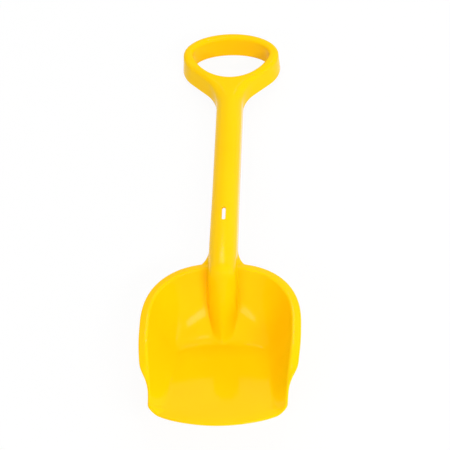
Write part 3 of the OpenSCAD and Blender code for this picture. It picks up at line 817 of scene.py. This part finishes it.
def grip_blocks(s):
    """Grids of the fork and the grip: sections up to the hole, the right-hand half of the ring, its
    mirror image, and the stretch of face under the hole."""
    station = grip_stations(s)
    outer = outer_rows(s, station)
    limit = hole_edge(s, np.array(-pi / 2), s.hole_round, 0)[1] - HOLE_LEAD
    crotch = int((station[-1][:, 1] < limit)[:FORK_COLS // 2].sum())
    fork = fork_sweep([v[:crotch + 1] for v in station], outer[:, :crotch + 1])

    ring = [v[crotch:] for v in station]
    angle = mix(HOLE_GAP - pi / 2, pi / 2, shares(FORK_COLS - crotch) ** RING_CROWD)
    hole = hole_rows(s, angle)
    edge = round_rows(ring, shares(CROWN_COLS - FLAT_COLS, CROWN_END)[:, None])
    half = np.concatenate([hole, face_rows(s, hole[-1], edge[0]), edge, outer[1:, crotch:]])
    half[:, -1, 0] = 0

    middle = fork.shape[1] // 2
    end = fork[-1, middle - FLAT_COLS:middle + FLAT_COLS + 1]
    hole_gap = hole_rows(s, end[:, 0] / end[-1, 0] * HOLE_GAP - pi / 2)
    under = np.concatenate([hole_gap, face_rows(s, hole_gap[-1], end), end[None]])
    return [fork, half[:, ::-1], mirrored(half[:, ::-1]), under[:, ::-1]]


def slot_patch(s, x, y):
    """Patch of the crown round the slot, in rings from its border to the slot's edge, which is two half
    circles and two straights."""
    r = crown_radius(s)
    bottom, right, upper = [np.stack(np.broadcast_arrays(u * swell(s, v), v), -1)
                            for u, v in ((x, y[0]), (x[-1], y), (x, y[-1]))]
    border = np.concatenate([bottom, right[1:], upper[-2::-1], (right * (-1, 1))[-2::-1]])
    half, span = s.slot_w / 2, (s.slot_l - s.slot_w) / 2
    up = np.linspace(-span, span, len(y))
    arc = half * circle(pi + shares(len(x) - 1, pi)[:, None])
    line = np.stack([np.full_like(up, half), up], -1)
    hole = np.concatenate([arc - (0, span), line[1:], (-arc + (0, span))[1:], -line[1:]]) + (0, s.slot_y)
    k = (shares(SLOT_RINGS) ** SLOT_CROWD)[:, None, None]
    flat = mix(border[None], hole[None], k)
    across = flat[..., 0] / swell(s, flat[..., 1])
    return points(flat[..., 0], flat[..., 1], s.shaft_h - r + np.sqrt(r * r - across ** 2))


def make_handle(s):
    """Points and faces of the closed wall of the shaft and the grip."""
    x, z = section(s)
    middle = len(x) // 2
    reach = s.slot_l * SLOT_REACH
    around = np.linspace(s.slot_y - reach, s.slot_y + reach, SLOT_ROWS + 1)

    def stretch(y, columns):
        """Some columns of the shaft's section at the places y."""
        return points(x[None, columns] * swell(s, y[:, None]), y[:, None], z[None, columns])

    below = np.linspace(seam(s), around[0], BELOW_ROWS + 1)
    above = np.linspace(around[-1], cut_line(s), int((cut_line(s) - around[-1]) / SHAFT_STEP) + 1)
    left = slice(0, middle - SLOT_SPAN_COLS + 1)
    right = slice(middle + SLOT_SPAN_COLS, None)
    span = slice(middle - SLOT_SPAN_COLS, middle + SLOT_SPAN_COLS + 1)
    spots, quads = weld([stretch(below, slice(None)), stretch(around, left), stretch(around, right),
                         slot_patch(s, x[span], around), stretch(above, slice(None))] + grip_blocks(s))
    thick = handle_wall(s, spots[:, 1])
    slot = np.abs(spots[:, 0]) < s.slot_w / 2 + WELD
    slot &= np.abs(spots[:, 1] - s.slot_y) < s.slot_l / 2 + WELD
    return shell(spots, quads, thick, np.where(slot, SLOT_BULGE, edge_bulge(s, spots, thick)), slot)


def make_ribs(s):
    """Points and faces of the cross ribs: flat plates whose rows run from the free edge up to the crown
    and are as wide as the inside of the shaft there. The first is copied at even steps."""
    r, wall = crown_radius(s), s.shaft_wall - RIB_BITE
    low, top, spring = s.rib_set + s.rib_t / 2, s.shaft_h - wall, s.shaft_h - r
    z = mix(low, top - RIB_TOP_GAP, shares(RIB_ROWS) ** RIB_CROWD)[::-1, None]
    dome = np.sqrt(np.maximum((r - wall) ** 2 - np.maximum(z - spring, 0) ** 2, 0))
    half = np.where(z > spring, dome, r - wall + s.draft * (spring - z))
    spots, quads = weld([points(half * np.linspace(-1, 1, RIB_COLS + 1), s.rib_y + s.rib_t / 2, z)])
    thick = np.full(len(spots), s.rib_t)
    spots, faces = shell(spots, quads, thick, np.where(spots[:, 2] < low + WELD, thick / 2, 0))
    step = np.arange(RIBS)[:, None, None]
    spread_out = spots + step * (0, s.rib_pitch, 0)
    return spread_out.reshape(-1, 3), (faces + step * len(spots)).reshape(-1, 4)


def link(name, data):
    """A new object in the scene that shows the data."""
    made = bpy.data.objects.new(name, data)
    bpy.context.collection.objects.link(made)
    return made


def link_mesh(name, spots, faces, material):
    """A new object in the scene with a mesh of one material."""
    mesh = bpy.data.meshes.new(name)
    mesh.from_pydata(spots.tolist(), [], faces.tolist())
    mesh.materials.append(material)
    return link(name, mesh)


def put(name, make, nodes):
    """Makes one piece of the object, lays it on the ground and hides the solids it stands for."""
    s = bpy.context.scene.shovel_sizes
    spots, faces = make(s)
    piece = link_mesh(name, lay(spots, s), faces, plastic())
    if piece.data.validate():
        raise RuntimeError(name + ": the mesh has faulty faces")
    piece.data.shade_smooth()
    piece.data.set_sharp_from_angle(angle=SHARP)
    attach(piece, BODY)
    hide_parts(*nodes)


# Materials


def math_node(operation):
    """Operator of shader values that adds one Math node."""
    return lambda a, b: a.shader.node("ShaderNodeMath", {0: a, 1: b}, operation=operation)


class Socket:
    """A shader value that takes part in sums."""

    __add__, __sub__, __mul__ = [math_node(kind) for kind in ("ADD", "SUBTRACT", "MULTIPLY")]

    def __init__(self, shader, output):
        self.shader, self.output = shader, output

    def clamp(self):
        """The value held between 0 and 1."""
        return self.shader.node("ShaderNodeClamp", {"Value": self, "Min": 0.0, "Max": 1.0})


class Shader:
    """Node tree of a material or of the world, cleared and ready for new nodes."""

    def __init__(self, owner):
        owner.use_nodes = True
        self.tree = owner.node_tree
        self.tree.nodes.clear()

    def node(self, kind, sockets, output=0, **settings):
        """Adds a node, sets its settings and then its sockets, and wraps one of its outputs."""
        made = self.tree.nodes.new(kind)
        for key, value in settings.items():
            setattr(made, key, value)
        for key, value in sockets.items():
            if isinstance(value, Socket):
                self.tree.links.new(value.output, made.inputs[key])
            else:
                made.inputs[key].default_value = value
        return Socket(self, made.outputs[output]) if len(made.outputs) else None

    def seen(self):
        """1 for rays from the camera, in reflections and through clear things, and 0 for other light."""
        camera, glossy, clear = [self.node("ShaderNodeLightPath", {}, kind) for kind in
                                 ("Is Camera Ray", "Is Glossy Ray", "Is Transmission Ray")]
        return (camera + glossy + clear).clamp()


def plastic():
    """Polished polypropylene: an even yellow with faint denser patches, a very fine ripple from the
    mould and light scuffs."""
    found = bpy.data.materials.get("yellow_plastic")
    if found:
        return found
    look = bpy.context.scene.shovel_finish
    material = bpy.data.materials.new("yellow_plastic")
    sh = Shader(material)
    place = sh.node("ShaderNodeTexCoord", {}, "Object")
    cloud, grain, ripple = [
        sh.node("ShaderNodeTexNoise", {"Vector": place, "Scale": scale, "Detail": detail}, "Fac")
        for scale, detail in (CLOUD_NOISE, GRAIN_NOISE, RIPPLE_NOISE)]
    patch = ((cloud - PATCH_FROM) * PATCH_GAIN).clamp()
    # Sockets 0, 6 and 7 are the share and the two colours, and output 2 is the mixed colour.
    tones = {0: patch, 6: (*look.body, 1), 7: (*look.deep, 1)}
    tone = sh.node("ShaderNodeMix", tones, 2, data_type="RGBA")
    scuffed = ((cloud * SCUFF_CLOUD + grain * SCUFF_GRAIN - SCUFF_FROM) * SCUFF_GAIN).clamp()
    rough = scuffed * look.scuff + look.roughness
    height = ripple * RELIEF_RIPPLE + grain * RELIEF_GRAIN
    bump = sh.node("ShaderNodeBump",
                   {"Strength": RELIEF_STRENGTH, "Distance": RELIEF_DEPTH, "Height": height})
    skin = sh.node("ShaderNodeBsdfPrincipled",
                   {"Base Color": tone, "Roughness": rough, "IOR": PLASTIC_IOR,
                    "Specular IOR Level": look.gloss, "Normal": bump})
    sh.node("ShaderNodeOutputMaterial", {"Surface": skin})
    return material


class OBJECT_OT_shovel_scoop(bpy.types.Operator):
    """Builds the scoop: its floor, walls, rim, lip, spine and the flares of the neck"""

    bl_idname = "object.shovel_scoop"
    bl_label = "Scoop"

    def execute(self, context):
        put("scoop", make_scoop,
            ["scoop_floor", "front_lip", "scoop_side_left", "scoop_side_right", "scoop_back_left",
             "scoop_back_right", "spine", "rim_left", "rim_right", "neck_flare_left", "neck_flare_right"])
        return {"FINISHED"}


class OBJECT_OT_shovel_handle(bpy.types.Operator):
    """Builds the handle: the hollow shaft with its slot, the fork and the ring of the grip"""

    bl_idname = "object.shovel_handle"
    bl_label = "Handle"

    def execute(self, context):
        put("handle", make_handle,
            ["shaft_crown", "shaft_wall_left", "shaft_wall_right", "grip_face", "grip_outer_wall",
             "grip_inner_wall"])
        return {"FINISHED"}


class OBJECT_OT_shovel_ribs(bpy.types.Operator):
    """Builds the cross ribs inside the shaft"""

    bl_idname = "object.shovel_ribs"
    bl_label = "Ribs"

    def execute(self, context):
        put("shaft_ribs", make_ribs, ["shaft_ribs"])
        return {"FINISHED"}


def floor_material():
    """Matt white paper that looks white by itself to the camera and in reflections, so that only the
    object's shadow darkens it."""
    material = bpy.data.materials.new("paper_floor")
    sh = Shader(material)
    matt = sh.node("ShaderNodeBsdfDiffuse", {"Color": FLOOR_TONE})
    glow = sh.node("ShaderNodeEmission", {"Color": WHITE, "Strength": 1.0})
    part = sh.node("ShaderNodeMixShader", {0: sh.seen() * FLOOR_WHITE, 1: matt, 2: glow})
    sh.node("ShaderNodeOutputMaterial", {"Surface": part})
    return material


def put_floor():
    """Lays the paper floor just below the ground, in square cells."""
    side = np.linspace(-FLOOR_HALF, FLOOR_HALF, FLOOR_CELLS + 1)
    spots, quads = weld([points(*np.meshgrid(side, side), -FLOOR_DEPTH)])
    link_mesh("paper_floor", spots, quads, floor_material())


def light_world(scene):
    """Surrounds the scene with dim light that looks white to the camera and in reflections."""
    scene.world = bpy.data.worlds.new("studio")
    sh = Shader(scene.world)
    dim = sh.node("ShaderNodeBackground", {"Color": WHITE, "Strength": WORLD_LIGHT})
    white = sh.node("ShaderNodeBackground", {"Color": WHITE, "Strength": 1.0})
    both_ways = sh.node("ShaderNodeMixShader", {0: sh.seen(), 1: dim, 2: white})
    sh.node("ShaderNodeOutputWorld", {"Surface": both_ways})


def toward(side, lift):
    """Direction at an angle to the right of the front and an angle above the ground."""
    return np.array((sin(side) * cos(lift), -cos(side) * cos(lift), sin(lift)))


def softbox(name, side, lift, size, power):
    """Soft rectangular lamp with what LAMPS lists, at the lamps' distance and facing the scoop."""
    data = bpy.data.lights.new(name, "AREA")
    data.shape, data.size, data.size_y, data.energy = "RECTANGLE", *size, power
    lamp = link(name, data)
    away = Vector(toward(radians(side), radians(lift)))
    lamp.location = Vector((0, LAMP_AIM, 0)) + away * LAMP_FAR
    lamp.rotation_euler = (-away).to_track_quat("-Z", "Y").to_euler()


def put_camera(scene):
    """Sets up the camera in the drawn frame and lays it on the ground with the part."""
    s, view = scene.shovel_sizes, scene.shovel_stage
    back = toward(view.camera_swing, view.camera_lift)
    level = np.array((cos(view.camera_swing), sin(view.camera_swing), 0))
    right = cos(view.camera_roll) * level - sin(view.camera_roll) * np.cross(back, level)
    aim = np.array((view.camera_side, view.camera_aim, 0))
    laid = lay(np.stack([aim, aim + right, aim + np.cross(back, right), aim + back]), s)
    axes = laid[1:] - laid[0]
    data = bpy.data.cameras.new("camera")
    data.sensor_width = SENSOR_MM
    data.lens = view.camera_far / (view.pixel * IMAGE_PX) * SENSOR_MM
    data.clip_end = CLIP_END
    matrix = np.eye(4)
    matrix[:3, :3], matrix[:3, 3] = axes.T, laid[0] + axes[2] * view.camera_far
    scene.camera = link("camera", data)
    scene.camera.matrix_world = Matrix(matrix.tolist())


class OBJECT_OT_shovel_stage(bpy.types.Operator):
    """Sets up the floor, the lamps and the camera at the photograph's angle"""

    bl_idname = "object.shovel_stage"
    bl_label = "Stage"

    def execute(self, context):
        put_floor()
        light_world(context.scene)
        for lamp in LAMPS:
            softbox(*lamp)
        put_camera(context.scene)
        context.scene.view_settings.view_transform = "Standard"
        return {"FINISHED"}


class VIEW3D_PT_shovel(bpy.types.Panel):
    """Lists the steps that build the shovel"""

    bl_label = "Sand Shovel"
    bl_space_type = "VIEW_3D"
    bl_region_type = "UI"
    bl_category = "Sand Shovel"

    def draw(self, context):
        for step in STEPS:
            self.layout.operator(step.bl_idname)
        for name, kind in GROUPS.items():
            column = self.layout.column()
            for key in kind.__annotations__:
                column.prop(getattr(context.scene, name), key)


STEPS = (OBJECT_OT_shovel_scoop, OBJECT_OT_shovel_handle, OBJECT_OT_shovel_ribs, OBJECT_OT_shovel_stage)
GROUPS = {"shovel_sizes": ShovelSizes, "shovel_finish": ShovelFinish, "shovel_stage": StageSettings}
CLASSES = (*GROUPS.values(), *STEPS, VIEW3D_PT_shovel)


def register():
    """Registers the classes and hangs the settings on the scene."""
    for cls in CLASSES:
        bpy.utils.register_class(cls)
    for name, kind in GROUPS.items():
        setattr(bpy.types.Scene, name, PointerProperty(type=kind))


def unregister():
    """Takes back what register did."""
    for name in GROUPS:
        delattr(bpy.types.Scene, name)
    for cls in reversed(CLASSES):
        bpy.utils.unregister_class(cls)


def main():
    """Builds the pieces and the stage."""
    register()
    bpy.ops.object.shovel_scoop()
    bpy.ops.object.shovel_handle()
    bpy.ops.object.shovel_ribs()
    bpy.ops.object.shovel_stage()


if __name__ == "__main__":
    main()
